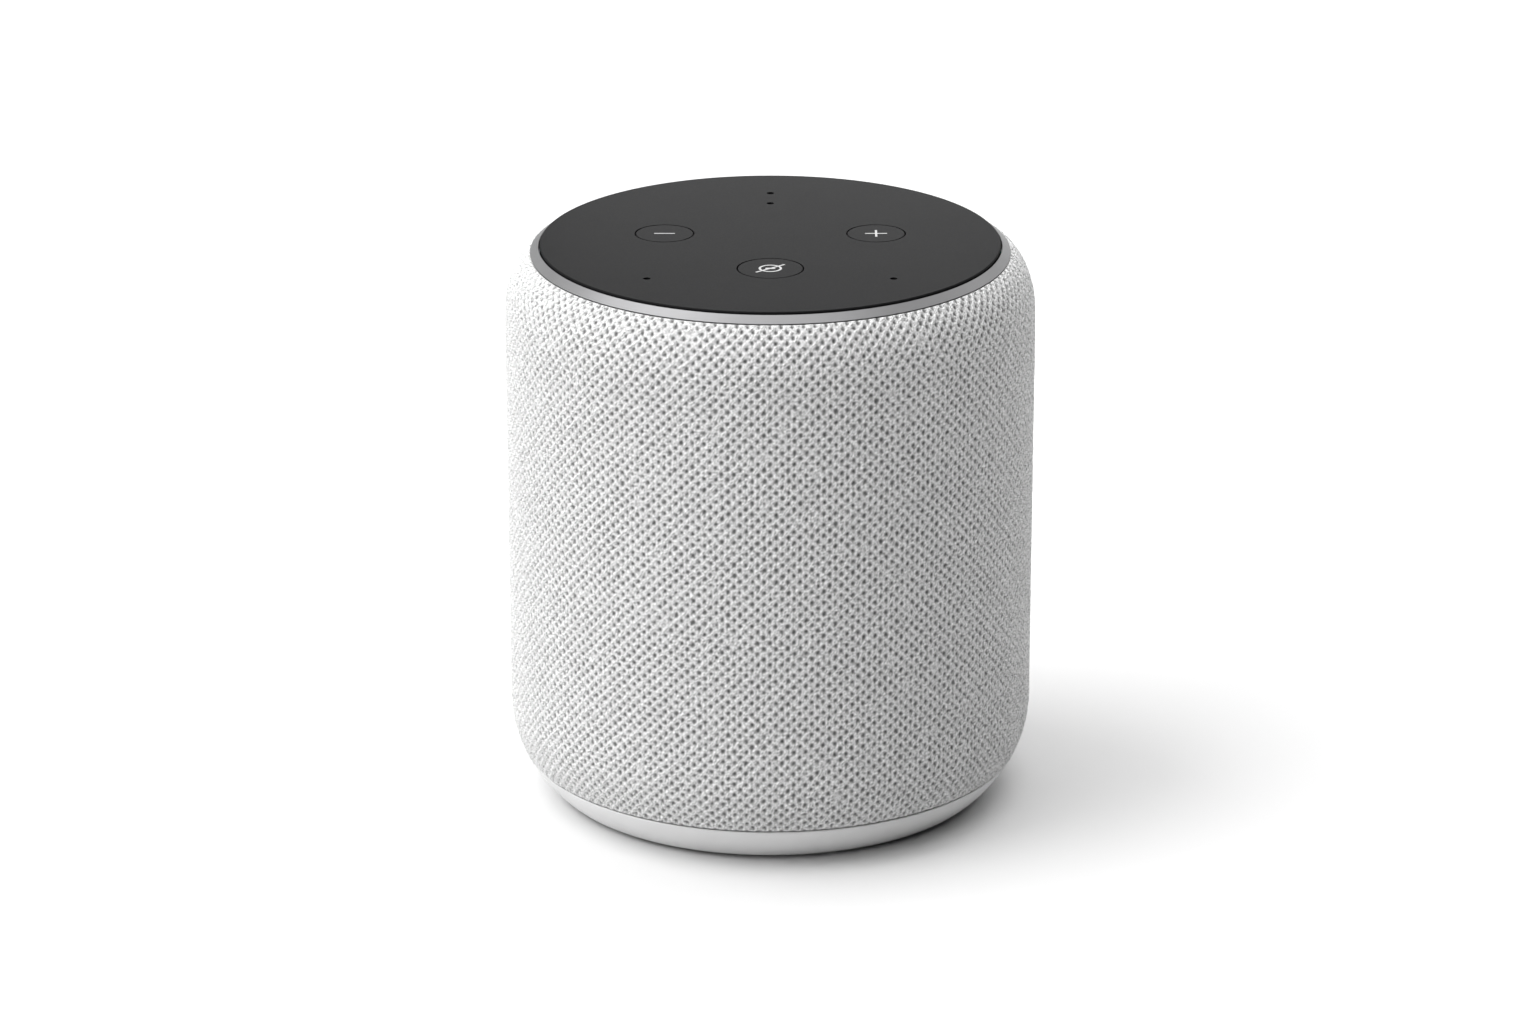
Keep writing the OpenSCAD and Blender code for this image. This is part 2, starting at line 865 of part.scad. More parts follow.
module grommet() {
    difference() {
        rotate_extrude()
            polygon([
                [0, lid_z - grommet_lip], [grommet_r, lid_z - grommet_lip], [grommet_r, lid_z],
                [grommet_r - grommet_lip, lid_z], [grommet_r - grommet_lip, lid_top], [grommet_r, lid_top],
                [grommet_r, lid_top + grommet_lip], [0, lid_top + grommet_lip]
            ]);
        for (side = [-1, 1])
            translate([0, side * wire_half, lid_z - 2 * grommet_lip])
                cylinder(r = wire_r, h = lid_t + 4 * grommet_lip);
    }
}

module cable_grommets() {
    color("#1c1d1f") {
        translate([-woofer_lead_x, 0, 0]) grommet();
        translate([0, -tweeter_lead_y, 0]) rotate(90) grommet();
    }
}

// ---- Woofer ----

module woofer_basket() {
    window_w = basket_neck_r * 1.1;
    window_low = basket_flange_t + 1.5;
    window_high = basket_top - 2;
    color("#3a3c40")
        at_woofer()
            difference() {
                union() {
                    rotate_extrude()
                        polygon([
                            [woofer_r - basket_rim_w, 0], [woofer_r, 0], [woofer_r, basket_flange_t],
                            [basket_shoulder_r, basket_flange_t], [basket_neck_r, basket_top],
                            [basket_neck_r, top_plate_z], [coil_r + 1.5, top_plate_z],
                            [coil_r + 1.5, basket_top], [basket_neck_r - basket_wall, basket_top],
                            [basket_shoulder_r - basket_wall, basket_flange_t], [woofer_r - basket_rim_w, 1]
                        ]);
                    block(terminal_size, -terminal_x, 0, terminal_z);
                }
                for (a = [45, 135])
                    rotate(a)
                        block([2 * woofer_r, window_w, window_high - window_low], 0, 0, window_low);
                at_polar(woofer_screw_at, woofer_angles)
                    translate([0, 0, -cut])
                        cylinder(r = woofer_screw_r + screw_slip, h = basket_flange_t + 2 * cut);
            }
}

module woofer_gasket() {
    color("#17181a")
        difference() {
            tube(woofer_r, basket_shoulder_r + slip, floor_z - gasket_t, gasket_t);
            at_polar(woofer_screw_at, woofer_angles)
                hole(woofer_screw_r + screw_slip, floor_z - gasket_t, gasket_t);
        }
}

module woofer_top_plate() {
    color("#8d9094") at_woofer() tube(basket_neck_r, coil_r + coil_gap, top_plate_z, steel_t);
}

module woofer_magnet() {
    color("#4a4b4d") at_woofer() tube(magnet_d / 2, coil_r + coil_gap + 2, magnet_z, magnet_t);
}

module woofer_yoke() {
    color("#8d9094")
        at_woofer()
            difference() {
                union() {
                    translate([0, 0, yoke_z]) cylinder(r = basket_neck_r, h = steel_t);
                    translate([0, 0, top_plate_z]) cylinder(r = pole_r, h = yoke_z - top_plate_z + root);
                }
                translate([0, 0, top_plate_z - cut]) cylinder(r = 3, h = yoke_z);
            }
}

module woofer_surround() {
    middle = woofer_r - basket_rim_w - surround_w / 2;
    roll = surround_w / 2 - 0.2;
    color("#222326")
        at_woofer()
            rotate_extrude()
                polygon(concat(
                    arc(middle, cone_edge_z, roll, roll, 180, 0, 12),
                    arc(middle, cone_edge_z, roll - surround_t, roll - surround_t, 0, 180, 12)
                ));
}

// A corrugated ring whose outline follows a cosine
function ripple(lift) = [for (i = [0:24])
    let (r = coil_r + fit + (basket_neck_r - basket_wall - 1.2 - coil_r) * i / 24)
        [r, spider_z + lift + spider_wave * cos(i * 60)]];

module woofer_spider() {
    color("#c9a23c")
        at_woofer() rotate_extrude() polygon(concat(ripple(0), reversed(ripple(spider_t))));
}

module woofer_cone() {
    color("#2a2b2e")
        at_woofer()
            rotate_extrude()
                polygon([
                    [cone_edge_r - 0.1, cone_edge_z - 0.2], [cone_edge_r - 0.1, cone_edge_z + cone_t - 0.2],
                    [cone_edge_r - 1.2, cone_edge_z + cone_t],
                    [coil_r + cone_t, cone_neck_z], [coil_r + cone_t, cone_neck_z + 1.5],
                    [coil_r, cone_neck_z + 1.5], [coil_r, cone_neck_z - cone_t],
                    [cone_edge_r - 1.4, cone_edge_z - 0.2]
                ]);
}

module woofer_dust_cap() {
    cap_r = coil_r + 2;
    cap_base = cone_neck_z - (cap_r - coil_r) * (cone_neck_z - cone_edge_z) / (cone_edge_r - coil_r) - 1.1;
    dome = 3;
    color("#303134")
        at_woofer()
            rotate_extrude()
                polygon(concat(
                    arc(0, cap_base, cap_r, dome, 0, -90, 10),
                    arc(0, cap_base, cap_r - cone_t, dome - cone_t, -90, 0, 10)
                ));
}

module voice_coil() {
    bottom = cone_neck_z - cone_t;
    color("#b8703a") at_woofer() tube(coil_r, coil_r - coil_t, bottom, coil_top - bottom);
}

module driver_screws() {
    color("#a7a9ac") {
        at_polar(woofer_screw_at, woofer_angles)
            screw(woofer_screw_r, small_head_r, small_head_h, basket_flange_t + woofer_screw_l, woofer_z, 1);
        at_tweeter()
            at_polar(tweeter_screw_at, tweeter_screw_angles)
                screw(small_screw_r, tweeter_head_r, small_head_h, tweeter_screw_l, tweeter_flange_t, -1);
    }
}

// ---- Tweeter ----

module tweeter_frame() {
    bore = tweeter_cup_r - tweeter_cup_wall;
    color("#303236")
        at_tweeter()
            difference() {
                rotate_extrude()
                    polygon([
                        [bore, -tweeter_cup_h], [tweeter_cup_r, -tweeter_cup_h], [tweeter_cup_r, 0],
                        [tweeter_r, 0], [tweeter_r, tweeter_flange_t * 0.7],
                        [tweeter_r - 0.6, tweeter_flange_t], [bore + 1.5, tweeter_flange_t],
                        [bore, tweeter_flange_t * 0.8]
                    ]);
                at_polar(tweeter_screw_at, tweeter_screw_angles)
                    translate([0, 0, -cut])
                        cylinder(r = small_screw_r + screw_slip, h = tweeter_flange_t + 2 * cut);
            }
}

module tweeter_magnet() {
    color("#4a4b4d")
        at_tweeter()
            union() {
                translate([0, 0, -tweeter_cup_h - tweeter_magnet_t])
                    cylinder(r = tweeter_cup_r, h = tweeter_magnet_t);
                translate([0, 0, -tweeter_cup_h - root])
                    cylinder(r = dome_r - dome_t - coil_gap, h = tweeter_cup_h);
            }
}

module tweeter_dome() {
    color("#b5b8bc")
        at_tweeter()
            rotate_extrude()
                polygon(concat(
                    [[dome_r - dome_t, -tweeter_cup_h + 1], [dome_r, -tweeter_cup_h + 1], [dome_r, dome_z],
                     [dome_r + 0.9, dome_z], [dome_r + 0.9, dome_z + dome_t]],
                    arc(0, dome_z + dome_t, dome_r, dome_h, 0, 90, 12),
                    arc(0, dome_z, dome_r - dome_t, dome_h, 90, 0, 12)
                ));
}

// ---- Base ----

module sound_deflector() {
    color("#27292c")
        difference() {
            union() {
                translate([0, 0, ledge_z]) cylinder(r = ledge_r - slip, h = ledge_t);
                rotate_extrude()
                    polygon(concat(
                        [[0, deck_z - 0.5], [deflector_cone_r, deck_z - 0.5]],
                        reversed(arc(deflector_cone_r, deflector_tip_z, deflector_cone_r - deflector_tip_r,
                            deflector_tip_z - deck_z, 180, 270, 14)),
                        [[0, deflector_tip_z + 1]]
                    ));
                for (side = [-1, 1])
                    translate([side * socket_post_x, socket_post_y, deck_z - cut])
                        cylinder(r = socket_post_r, h = socket_board_z - deck_z + cut);
            }
            at_polar(deflector_screw_at, [90, 210, 330])
                translate([0, 0, ledge_z - cut])
                    cylinder(r = large_screw_r + screw_slip, h = deflector_screw_l);
            for (side = [-1, 1])
                translate([side * socket_post_x, socket_post_y, socket_board_z - 4])
                    cylinder(r = small_screw_r + screw_slip, h = 4 + cut);
        }
}

module base_ring() {
    bevel = 0.25;
    color("#dfe0e1")
        difference() {
            rotate_extrude()
                polygon(concat(
                    arc(hem_x, hem_z, hem_r, hem_r, -asin((hem_z - base_lift) / hem_r),
                        -asin((hem_z - seam_z + bevel) / hem_r), skin_steps),
                    [[skin_r(0, seam_z) - bevel, seam_z], [tongue_r, seam_z], [tongue_r, tongue_z],
                     [tongue_r - tongue_t, tongue_z], [tongue_r - tongue_t, deck_z], [ledge_r, deck_z],
                     [ledge_r, ledge_z], [plate_r + slip, ledge_z], [plate_r + slip, base_lift]]
                ));
            at_polar(leg_at, leg_angles)
                hole(large_screw_r + screw_slip, ledge_z, ledge_t);
        }
}

module countersunk_hole() {
    translate([0, 0, plate_z - cut]) cylinder(r = large_head_r + slip, h = cut + large_head_h + fit);
    translate([0, 0, plate_z]) cylinder(r = large_screw_r + screw_slip, h = plate_t + cut);
}

module base_plate() {
    color("#3a3c3f")
        difference() {
            translate([0, 0, plate_z]) cylinder(r = plate_r, h = plate_t);
            tube(foot_r, foot_r - foot_w, 0, foot_t);
            at_polar(leg_at, leg_angles) countersunk_hole();
            at_polar(deflector_screw_at, [90, 210, 330]) countersunk_hole();
        }
}

module rubber_foot() {
    edge = 0.4;
    color("#1e1f21")
        rotate_extrude()
            polygon([
                [foot_r - foot_w + edge, 0], [foot_r - edge, 0], [foot_r, edge], [foot_r, foot_t],
                [foot_r - foot_w, foot_t], [foot_r - foot_w, edge]
            ]);
}

module base_screws() {
    seat_z = plate_z + large_head_h + fit;
    color("#a7a9ac") {
        at_polar(leg_at, leg_angles)
            screw(large_screw_r, large_head_r, large_head_h, leg_screw_l, seat_z, 1);
        at_polar(deflector_screw_at, [90, 210, 330])
            screw(large_screw_r, large_head_r, large_head_h, deflector_screw_l, seat_z, 1);
    }
}

// ---- Skin ----

module grille_shell() {
    color("#9a9c9f")
        difference() {
            skin_shell(grille_depth, inner_depth, seam_z + skin_gap);
            for (i = [0:slot_count - 1])
                if (abs(i - slot_count / 4) > 1.5)
                    rotate(i * 360 / slot_count)
                        block([2 * body_r, slot_w, slot_high - slot_low], body_r, 0, slot_low);
            at_tweeter()
                for (x = [-port_rings:port_rings], y = [-port_rings:port_rings])
                    if (norm([x, y]) < port_rings + 0.3)
                        translate([x * port_pitch, y * port_pitch, 0]) cylinder(r = port_hole_r, h = body_r);
            stadium_y(bay_w + 2 * slip, bay_h + 2 * slip, 0, socket_z, body_r / 2, body_r + cut);
        }
}

module fabric_sleeve() {
    color("#d9dadb")
        difference() {
            skin_shell(0, fabric_t, seam_z + skin_gap);
            stadium_y(bay_w + 2 * slip, bay_h + 2 * slip, 0, socket_z, body_r / 2, body_r + cut);
        }
}

// ---- Sockets ----

module port_bezel() {
    color("#2b2d30")
        difference() {
            intersection() {
                stadium_y(bay_w, bay_h, 0, socket_z, socket_front + fit, body_r + cut);
                translate([0, 0, seam_z]) cylinder(r = bay_face_r, h = floor_z);
            }
            stadium_y(bay_w - 2 * bay_wall, bay_h - 2 * bay_wall, 0, socket_z, socket_front + bay_floor_t,
                body_r + 2 * cut);
            hole_y(bay_power_hole_r, -power_x, socket_z, socket_front - cut, body_r);
            hole_y(bay_audio_hole_r, audio_x, socket_z, socket_front - cut, body_r);
        }
}

module socket_board() {
    color("#1d4f36")
        difference() {
            translate([-socket_board_w / 2, socket_board_y, socket_board_z])
                cube([socket_board_w, socket_board_l, socket_board_t]);
            for (side = [-1, 1])
                translate([side * socket_post_x, socket_post_y, socket_board_z - cut])
                    cylinder(r = small_screw_r + 3 * screw_slip, h = socket_board_t + 2 * cut);
        }
}

module power_socket() {
    color("#1a1b1d")
        difference() {
            translate([-power_x - power_socket_w / 2, socket_front - socket_l, socket_board_top])
                cube([power_socket_w, socket_l, socket_h]);
            hole_y(power_bore_d / 2, -power_x, socket_z, socket_front - power_depth, socket_front + cut);
        }
}

module power_socket_pin() {
    color("#c8b070")
        hole_y(power_pin_d / 2, -power_x, socket_z, socket_front - power_depth, socket_front - 1);
}

module audio_socket() {
    color("#202124")
        difference() {
            union() {
                translate([audio_x - audio_socket_w / 2, socket_front - socket_l - 1, socket_board_top])
                    cube([audio_socket_w, socket_l + 1, socket_h]);
                hole_y(audio_neck_r, audio_x, socket_z, socket_front - cut, socket_front + bay_floor_t);
            }
            hole_y(audio_bore_d / 2, audio_x, socket_z, socket_front + bay_floor_t - audio_depth, body_r);
        }
}

// ---- Wires ----

module driver_leads() {
    top = main_board_z - plug_h;
    start = woofer_z + terminal_z + terminal_size[2];
    slant_low = start + 12;
    slant_high = slant_low + (woofer_lead_x - terminal_x) * woofer_lead_slope;
    tweeter_back = tweeter_seat - tweeter_cup_h - tweeter_magnet_t;
    color("#b03030")
        for (side = [-1, 1]) {
            wire([
                [-terminal_x, side * wire_half, start], [-terminal_x, side * wire_half, slant_low],
                [-woofer_lead_x, side * wire_half, slant_high], [-woofer_lead_x, side * wire_half, top]
            ]);
            wire([
                [side * wire_half, -tweeter_back, tweeter_z], [side * wire_half, -tweeter_lead_y, tweeter_z],
                [side * wire_half, -tweeter_lead_y, top]
            ]);
        }
}

module power_leads() {
    color("#202020")
        for (side = [-1, 1]) {
            x = power_lead_x + side * (wire_r + 0.2);
            wire([
                [x, power_lead_y, socket_board_top + plug_h], [x, power_lead_y, power_lead_low],
                [x, power_lead_out, power_lead_low], [x, power_lead_out, power_lead_top],
                [x, power_plug_y, power_lead_top]
            ]);
        }
}

top_cover();
trim_ring();
light_guide();
light_leds();
top_frame();
button_board();
mic_capsules();
mic_gaskets();
switch_bodies();
board_screws();
main_board();
shield_can();
thermal_pad();
heat_spreader();
board_connectors();
board_capacitors();
ribbon_cable();
enclosure();
enclosure_lid();
lid_gasket();
lid_screws();
cable_grommets();
woofer_basket();
woofer_gasket();
woofer_top_plate();
woofer_magnet();
woofer_yoke();
woofer_surround();
woofer_spider();
woofer_cone();
woofer_dust_cap();
voice_coil();
driver_screws();
driver_leads();
tweeter_frame();
tweeter_magnet();
tweeter_dome();
sound_deflector();
grille_shell();
fabric_sleeve();
base_ring();
base_plate();
rubber_foot();
base_screws();
port_bezel();
socket_board();
power_socket();
power_socket_pin();
audio_socket();
power_leads();
volume_down_cap();
volume_up_cap();
mute_cap();
minus_legend();
plus_legend();
mute_legend();
volume_down_plunger();
volume_up_plunger();
mute_plunger();
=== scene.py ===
"""Looks of a round fabric-covered smart speaker.

It has a woven sleeve in relief, a finish for every part, and a light studio.
"""

import json
import math

import bpy
import numpy as np
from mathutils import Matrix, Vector


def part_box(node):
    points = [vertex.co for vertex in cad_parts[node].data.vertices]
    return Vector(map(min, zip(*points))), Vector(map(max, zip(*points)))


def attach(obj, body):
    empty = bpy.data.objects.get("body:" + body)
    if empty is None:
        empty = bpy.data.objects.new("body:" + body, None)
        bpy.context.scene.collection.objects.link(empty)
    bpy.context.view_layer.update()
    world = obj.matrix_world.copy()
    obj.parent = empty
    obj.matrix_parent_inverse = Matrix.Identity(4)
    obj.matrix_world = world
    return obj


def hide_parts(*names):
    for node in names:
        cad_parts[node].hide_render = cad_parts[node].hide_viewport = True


MM = 0.001
SEED = 7

# Camera, in metres and degrees, at the photograph's viewing angle
CAMERA_AT = (0.0, -1.2007, 0.5026)
CAMERA_PITCH = 20.03
CAMERA_LENS = 130.3
CAMERA_SENSOR = 36.0
CAMERA_SHIFT = -0.0015

# Outline of the sleeve: a rounded hem, a straight side and an elliptical shoulder
HEM_R = 27 * MM
HEM_Z = 21.6 * MM
SHOULDER_W = 8.9 * MM
SHOULDER_H = 14.84 * MM
SLEEVE_T = 1.15 * MM
HEM_POINTS, SIDE_POINTS, SHOULDER_POINTS = 400, 60, 600
SAME_HEIGHT = 0.05 * MM

# Weave: columns of eyes around the body, rows of eyes up it, and mesh samples across one of either
COLUMNS = 142
ROW_PITCH = 2.61 * MM
SAMPLES = 10
EYE_W = 0.50 * MM
EYE_H = 0.62 * MM
EYE_DEPTH = 0.45 * MM
SLASH_RIDGE = 0.15 * MM
SLASH_WIDTH = 0.15
BACK_RIDGE = 0.09 * MM
BACK_WIDTH = 0.27
STRAND_RELIEF = 0.045 * MM
FUZZ_RELIEF = 0.05 * MM
PUFF_RELIEF = 0.03 * MM
SINK = 0.1 * MM
WEAVE_WANDER = 0.05

# How much the upper yarn's fibres hide the lower one's where they cross
FIBRE_COVER = 0.75

# Edge of an eye, in half-sizes from its centre: open up to the first, yarn from the second, frayed by fibres
EYE_EDGE = (0.40, 1.25)
EYE_FRAY = 0.12

# Random differences between eyes, with their places in mm, and the share of eyes that are nearly filled
SIZE_SPREAD = 0.06
OPEN_SPREAD = 0.10
OPEN_LIMITS = (0.6, 1.25)
PLACE_SPREAD = 0.045
FILLED_EYES = 0.012
FILLED_OPEN = 0.4

# Patches of slow change, each in columns and rows: both families of yarn, the ridges and the puffs
SLASH_DRIFT = (3.1, 3)
BACK_DRIFT = (2.4, 2.2)
RIDGE_DRIFT = (1.6, 1.6)
RIDGE_CHANGE = 0.35
PUFF_DRIFT = (0.5, 0.5)

# Fibres: random steps in one pitch along a yarn and across it, and the sizes of the random tables
FIBRE_ALONG = 2.2
FIBRE_ACROSS = 6.5
FIBRE_TABLE = 512
EYE_TABLE = 256
DRIFT_ROWS = 64

# Cloth's colour: specks and fibres in weave units, their shares, and how dark and light the yarn gets
SPECK_SIZE = 0.10
SPECK_SHARE = 0.6
FIBRE_SIZE = 0.42
FIBRE_SHARE = 0.4
FIBRE_STRETCH = (1, 4, 1)
YARN_DARK = 0.24
YARN_LIGHT = 1.35
YARN_RAMP = (0.37, 0.55)
# Painted shade in the eyes: a grey mixed into the cloth's colour where the weave is open, standing in for the
# shaded inside seen through each eye; then its greatest share, its ramp over openness, the mottle's part in
# it, and the mottle's relief
EYE_SHADE_COLOUR = (0.22, 0.22, 0.22)
EYE_COVER = 0.9
EYE_RAMP = (0.55, 1.25)
EYE_MOTTLE = 0.7
MOTTLE_RELIEF = 0.16 * MM

# Edges of the sleeve: how far they turn in, and over what widths at the hem, the rim and the opening
TURNED_IN = 0.35 * MM
HEM_TURN = 0.5 * MM
RIM_TURN = 0.35 * MM
OPENING_TURN = 0.8 * MM
OPENING_SLIP = 0.2 * MM

# Points within this share of a row of the opening's outline move onto it
OPENING_REACH = 0.62

# Flat map of the sleeve for its outer layer, inner layer and edges: start, height of each half-turn, and gap
MAP_START = (0.01, 0.95, 0.985)
MAP_SPAN = (0.455, 0.012, 0.0)
MAP_GAP = (0.015, 0.004, 0.005)
MAP_EDGE = 0.003
MAP_LEFT = 0.01
MAP_WIDTH = 0.98

# Scale of a wave texture whose waves are one metre apart
WAVE_SCALE = 0.314

# Soft lights: name, azimuth from the front towards the right, elevation and strength
LIGHTS = (
    ("key", -90, 50, 2.15),
    ("overhead", 0, 90, 1.38),
    ("fill", -60, 26, 1.15),
    ("rear_left", -150, 26, 0.7),
    ("rear_low", 158, 24, 0.70),
    ("rear_high", 150, 52, 0.48),
    ("rear_right", 120, 52, 0.38),
    ("front", -15, 50, 0.20),
)
LIGHT_SPREAD = 50
WORLD_LIGHT = 0.02

# Card behind the speaker, in metres, watts and degrees
BACK_CARD_AT = (0.01, 0.25, 0.15)
BACK_CARD_SIZE = (0.16, 0.02)
BACK_CARD_POWER = 0.0052
BACK_CARD_SPREAD = 30

# Floor: its colour to the camera, and the colour by which it lights the speaker
FLOOR_COLOUR = (0.78, 0.78, 0.78)
FLOOR_BOUNCE = (0.65, 0.65, 0.65)
FLOOR_HALF = 30.0


# ---- Material building blocks ----


class Graph:
    """A material's node tree, with short calls to add and join nodes."""

    def __init__(self, name):
        self.material = bpy.data.materials.new(name)
        self.material.use_nodes = True
        self.tree = self.material.node_tree
        self.shader = self.tree.nodes["Principled BSDF"]

    def add(self, kind, **settings):
        node = self.tree.nodes.new(kind)
        for key, value in settings.items():
            setattr(node, key, value)
        return node

    def join(self, output, socket):
        self.tree.links.new(output, socket)

    def position(self, stretch=(1, 1, 1)):
        """Object coordinates, stretched along the axes."""
        mapping = self.add("ShaderNodeMapping")
        mapping.inputs["Scale"].default_value = stretch
        self.join(self.add("ShaderNodeTexCoord").outputs["Object"], mapping.inputs["Vector"])
        return mapping.outputs["Vector"]

    def noise(self, size, detail=3.0, rough=0.55, vector=None, stretch=(1, 1, 1)):
        """Noise whose features are about size metres across, from 0 to 1."""
        node = self.add("ShaderNodeTexNoise")
        node.inputs["Scale"].default_value = 1 / size
        node.inputs["Detail"].default_value = detail
        node.inputs["Roughness"].default_value = rough
        self.join(vector or self.position(stretch), node.inputs["Vector"])
        return node.outputs["Fac"]

    def ramp(self, value, low, high, start=0.3, end=0.7):
        """A colour that goes from low to high as value goes from start to end."""
        node = self.add("ShaderNodeValToRGB")
        first, last = node.color_ramp.elements
        first.position, last.position = start, end
        first.color, last.color = (*low, 1), (*high, 1)
        self.join(value, node.inputs["Fac"])
        return node.outputs["Color"]

    def range(self, value, low, high, start=0.3, end=0.7):
        """A number that goes from low to high as value goes from start to end."""
        node = self.add("ShaderNodeMapRange")
        for name, number in (("From Min", start), ("From Max", end), ("To Min", low), ("To Max", high)):
            node.inputs[name].default_value = number
        self.join(value, node.inputs["Value"])
        return node.outputs["Result"]

    def math(self, operation, a, b):
        node = self.add("ShaderNodeMath", operation=operation)
        for value, socket in zip((a, b), node.inputs):
            if isinstance(value, (int, float)):
                socket.default_value = value
            else:
                self.join(value, socket)
        return node.outputs["Value"]

    def mix(self, share, a, b):
        """Colour a where share is 0 and colour b where it is 1."""
        node = self.add("ShaderNodeMix", data_type="RGBA")
        colours = [s for s in node.inputs if s.type == "RGBA"]
        self.join(share, node.inputs["Factor"])
        for value, socket in zip((a, b), colours):
            if isinstance(value, tuple):
                socket.default_value = (*value, 1)
            else:
                self.join(value, socket)
        return next(s for s in node.outputs if s.type == "RGBA")

    def bump(self, height, depth, strength=1.0, under=None):
        """Bumps depth metres deep, on top of those of an earlier bump."""
        node = self.add("ShaderNodeBump")
        node.inputs["Strength"].default_value = strength
        node.inputs["Distance"].default_value = depth
        self.join(height, node.inputs["Height"])
        if under:
            self.join(under, node.inputs["Normal"])
        return node.outputs["Normal"]

    def set(self, **values):
        """Sets or joins the shader's sockets, named with underscores for spaces."""
        for key, value in values.items():
            socket = self.shader.inputs[key.replace("_", " ")]
            if isinstance(value, bpy.types.NodeSocket):
                self.join(value, socket)
            elif isinstance(value, tuple):
                socket.default_value = (*value, 1)
            else:
                socket.default_value = value


def scaled(colour, by):
    return tuple(min(1.0, c * by) for c in colour)


def moulded(name, colour, grain=0.25 * MM, depth=0.012 * MM, rough=(0.5, 0.62), spread=0.10, specular=0.5):
    """Moulded plastic with a spark-eroded grain and slightly uneven colour."""
    g = Graph(name)
    broad = g.noise(14 * MM)
    fine = g.noise(grain, detail=4)
    g.set(
        Base_Color=g.ramp(broad, scaled(colour, 1 - spread), scaled(colour, 1 + spread)),
        Roughness=g.range(fine, *rough),
        Normal=g.bump(fine, depth),
        Specular_IOR_Level=specular,
    )
    return g.material


def metal(name, colour, rough=(0.28, 0.42), grain=0.3 * MM, depth=0.004 * MM, stretch=(1, 1, 1), spread=0.08):
    """Bare or plated metal with a fine finish."""
    g = Graph(name)
    broad = g.noise(9 * MM)
    fine = g.noise(grain, detail=4, stretch=stretch)
    g.set(
        Base_Color=g.ramp(broad, scaled(colour, 1 - spread), scaled(colour, 1 + spread)),
        Metallic=1.0,
        Roughness=g.range(fine, *rough),
        Normal=g.bump(fine, depth),
    )
    return g.material


def rubbery(name, colour, pores=0.6 * MM, depth=0.03 * MM, rough=(0.72, 0.9)):
    """Rubber or foam: matte, with small pores."""
    g = Graph(name)
    cells = g.add("ShaderNodeTexVoronoi")
    cells.inputs["Scale"].default_value = 1 / pores
    g.join(g.position(), cells.inputs["Vector"])
    cloud = g.noise(8 * MM)
    g.set(
        Base_Color=g.ramp(cloud, scaled(colour, 0.85), scaled(colour, 1.25)),
        Roughness=g.range(cloud, *rough),
        Normal=g.bump(cells.outputs["Distance"], depth),
        Specular_IOR_Level=0.3,
    )
    return g.material


def woven(name, colour, pitch, depth):
    """Small woven or pressed cloth, from two crossed sets of waves."""
    g = Graph(name)
    heights = []
    for direction in ("X", "Y"):
        wave = g.add("ShaderNodeTexWave", bands_direction=direction)
        wave.inputs["Scale"].default_value = WAVE_SCALE / pitch
        wave.inputs["Distortion"].default_value = 0.6
        g.join(g.position(), wave.inputs["Vector"])
        heights.append(wave.outputs["Fac"])
    weave = g.math("MAXIMUM", *heights)
    g.set(
        Base_Color=g.ramp(weave, scaled(colour, 0.7), scaled(colour, 1.1), 0.1, 0.9),
        Roughness=0.8,
        Normal=g.bump(weave, depth),
        Sheen_Weight=0.2,
    )
    return g.material


# ---- Materials ----


def top_plastic(name, colour):
    """Dark satin plastic with a very fine grain, for the top panel and its buttons."""
    g = Graph(name)
    fine = g.noise(0.16 * MM, detail=4, rough=0.6)
    cloud = g.noise(22 * MM)
    g.set(
        Base_Color=g.ramp(cloud, scaled(colour, 0.94), scaled(colour, 1.06)),
        Roughness=g.range(fine, 0.5, 0.6),
        Normal=g.bump(fine, 0.006 * MM),
        Specular_IOR_Level=0.03,
    )
    return g.material


def legend_inlay(name, colour):
    """Light plastic inlay of a button's symbol, slightly uneven."""
    g = Graph(name)
    uneven = g.noise(0.35 * MM, detail=4)
    g.set(
        Base_Color=g.ramp(uneven, scaled(colour, 0.9), scaled(colour, 1.05)),
        Roughness=g.range(uneven, 0.42, 0.6),
        Normal=g.bump(uneven, 0.006 * MM),
    )
    return g.material


def satin_ring(name, colour):
    """Bead-blasted and anodised aluminium."""
    g = Graph(name)
    beads = g.noise(0.12 * MM, detail=5, rough=0.7)
    cloud = g.noise(12 * MM)
    g.set(
        Base_Color=g.ramp(cloud, scaled(colour, 0.96), scaled(colour, 1.04)),
        Metallic=1.0,
        Roughness=g.range(beads, 0.36, 0.48),
        Normal=g.bump(beads, 0.003 * MM),
    )
    return g.material


def satin_base(name, colour):
    """Light satin plastic with a faint moulded grain."""
    g = Graph(name)
    fine = g.noise(0.2 * MM, detail=4)
    cloud = g.noise(18 * MM)
    g.set(
        Base_Color=g.ramp(cloud, scaled(colour, 0.97), scaled(colour, 1.03)),
        Roughness=g.range(fine, 0.40, 0.50),
        Normal=g.bump(fine, 0.005 * MM),
    )
    return g.material


def laminate(name, colour):
    """Circuit board: green solder mask over copper traces, with bare pads."""
    g = Graph(name)
    cells = g.add("ShaderNodeTexVoronoi", distance="CHEBYCHEV")
    cells.inputs["Scale"].default_value = 1 / (2.6 * MM)
    g.join(g.position(), cells.inputs["Vector"])
    traces = g.range(cells.outputs["Distance"], 0.0, 1.0, 0.30, 0.36)
    fibre = g.noise(0.5 * MM)
    mask = g.mix(traces, scaled(colour, 1.5), colour)
    g.set(
        Base_Color=mask,
        Roughness=g.range(fibre, 0.28, 0.4),
        Normal=g.bump(traces, 0.03 * MM),
    )
    return g.material


